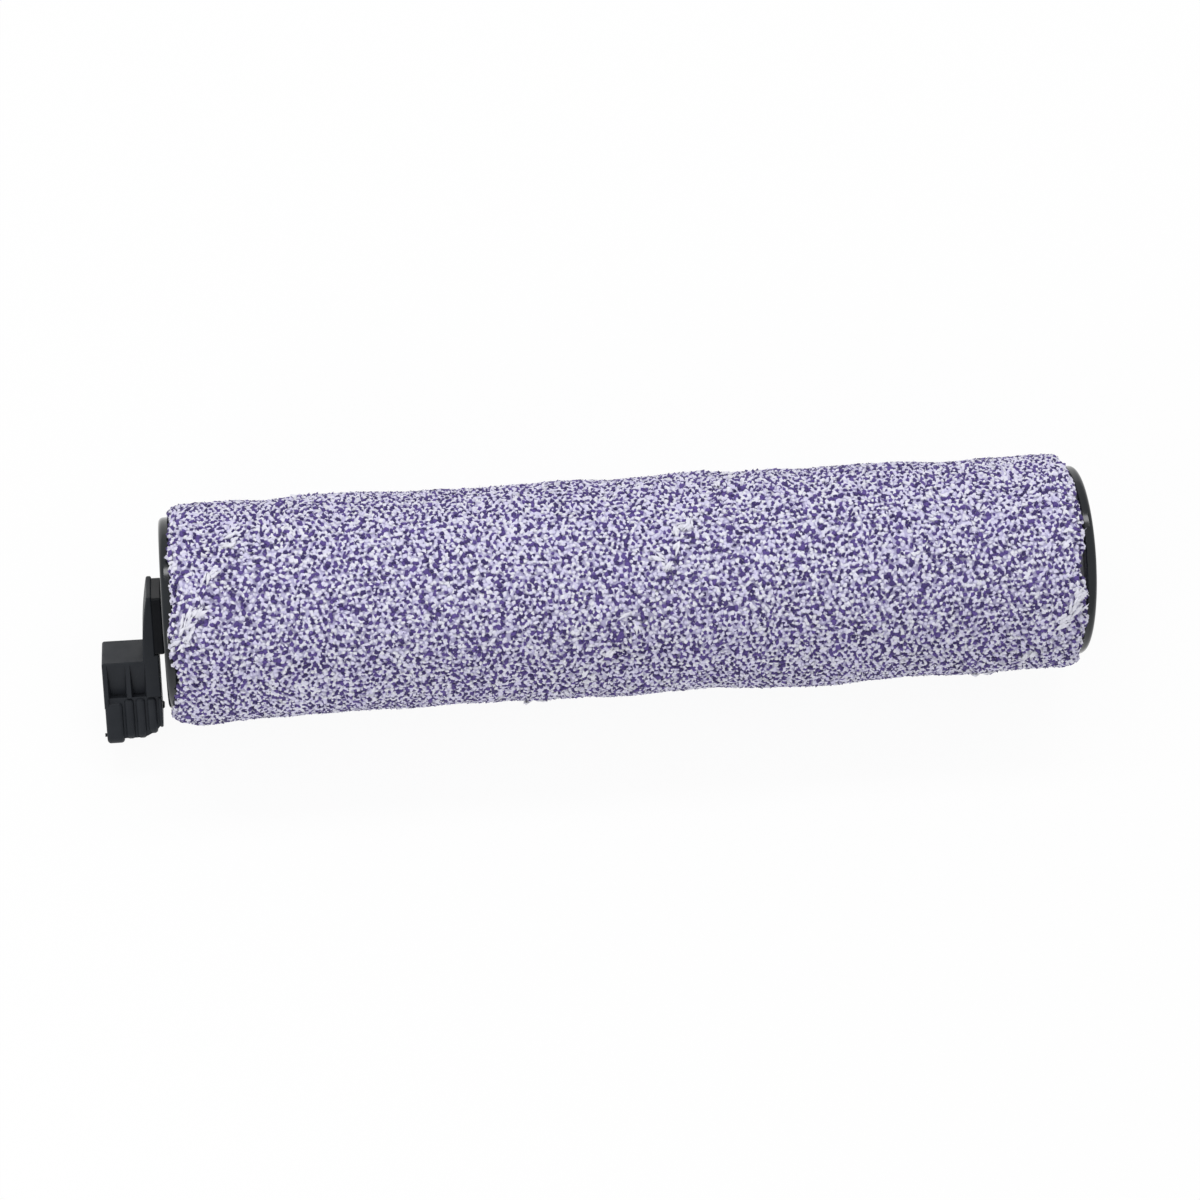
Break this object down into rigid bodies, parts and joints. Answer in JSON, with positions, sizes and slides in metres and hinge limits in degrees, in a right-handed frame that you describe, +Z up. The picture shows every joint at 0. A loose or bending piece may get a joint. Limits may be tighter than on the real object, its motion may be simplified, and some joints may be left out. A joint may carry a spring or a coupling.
{
  "type": "vacuum brush roll",
  "caption": "Brush roll for a floor-washing vacuum cleaner: speckled microfibre pile on a tube, a keyed drive socket at one end and a ridged pull handle on a ball bearing at the other.",
  "frame": {"origin": "centre of the drive socket's mouth, in the outer face of the drive end cap", "axes": "+X along the roll and out of the drive end, +Z up with the roll lying on its pile, handle leaning towards -Y"},
  "size_m": [0.2743, 0.0602, 0.0592],
  "materials": {
    "pile": "short curly microfibre pile",
    "core_plastic": "extruded",
    "cap_plastic": "moulded, semi-gloss",
    "felt": "pressed felt",
    "bearing_steel": "ground",
    "ball_steel": "polished",
    "cage_plastic": "moulded",
    "shield_steel": "pressed sheet",
    "axle_steel": "turned",
    "clip_steel": "blackened spring steel",
    "block_plastic": "moulded, semi-gloss",
    "handle_plastic": "moulded, fine grain"
  },
  "bodies": {
    "roll": {"pile_sleeve": "pile", "core_tube": "core_plastic", "drive_end_cap": "cap_plastic", "bearing_end_cap": "cap_plastic", "felt_seal": "felt", "bearing_outer_ring": "bearing_steel", "bearing_shield_outer": "shield_steel", "bearing_shield_inner": "shield_steel"},
    "ball_set": {"bearing_balls": "ball_steel", "bearing_cage": "cage_plastic"},
    "handle": {"pull_handle": "handle_plastic", "key_block": "block_plastic", "axle": "axle_steel", "bearing_inner_ring": "bearing_steel", "spacer_washer": "axle_steel", "retaining_ring": "clip_steel"}
  },
  "joints": [
    {"name": "handle_spin", "type": "hinge", "parent": "roll", "child": "handle", "pos_m": [-0.256, 0, 0], "axis": [1, 0, 0], "continuous": true},
    {"name": "ball_set_spin", "type": "hinge", "parent": "roll", "child": "ball_set", "pos_m": [-0.25, 0, 0], "axis": [1, 0, 0], "continuous": true}
  ],
  "couplings": [
    {"joint": "ball_set_spin", "follows": "handle_spin", "ratio": 0.3677}
  ]
}
